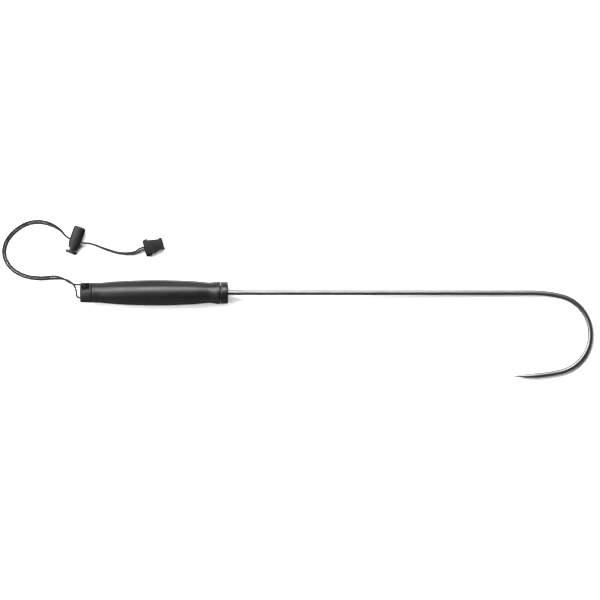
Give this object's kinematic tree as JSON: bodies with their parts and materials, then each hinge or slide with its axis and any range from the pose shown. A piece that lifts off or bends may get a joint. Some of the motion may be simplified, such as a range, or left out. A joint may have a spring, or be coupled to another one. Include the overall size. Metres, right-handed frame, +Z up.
{
  "type": "fishing gaff",
  "caption": "Hand gaff: an open steel hook with a needle point in a moulded handle whose soft grip has four long flats, and a doubled wrist cord with a sprung cord lock and a hinged cord end.",
  "frame": {"origin": "on the table, under the middle of the box round the handle and hook, without the free cord and what is on it", "axes": "+X from the butt towards the bend of the hook, along the table; +Z up; +Y completes the frame, so the hook turns towards -Y and its plane lies flat"},
  "size_m": [0.5868, 0.157, 0.0258],
  "materials": {
    "hook": "ground and polished stainless rod",
    "core": "moulded, lightly polished",
    "grip": "soft moulded, satin",
    "cord": "braided cord",
    "cord_lock": "fine moulded texture",
    "spring": "bright spring wire",
    "cord_end": "fine moulded texture"
  },
  "bodies": {
    "gaff": {"gaff_hook": "hook", "handle_core": "core", "grip_sleeve": "grip", "cord_bight": "cord", "cord_upper": "cord", "cord_lower": "cord", "cord_knot": "cord", "cord_lock_body": "cord_lock", "cord_lock_spring": "spring", "cord_end_base": "cord_end"},
    "lock_button": {"cord_lock_plunger": "cord_lock"},
    "end_lid": {"cord_end_lid": "cord_end"}
  },
  "joints": [
    {"name": "lock_button_press", "type": "slide", "parent": "gaff", "child": "lock_button", "axis": [0.3365, 0.9417, 0], "range_m": [0, 0.0021], "stiffness_N_per_m": 1500, "springref_m": -0.003, "deforming": ["cord_lock_spring"]},
    {"name": "end_lid_open", "type": "hinge", "parent": "gaff", "child": "end_lid", "pos_m": [-0.18507, 0.07373, 0.0042], "axis": [0.9636, 0.2673, 0], "range_deg": [0, 110]}
  ]
}
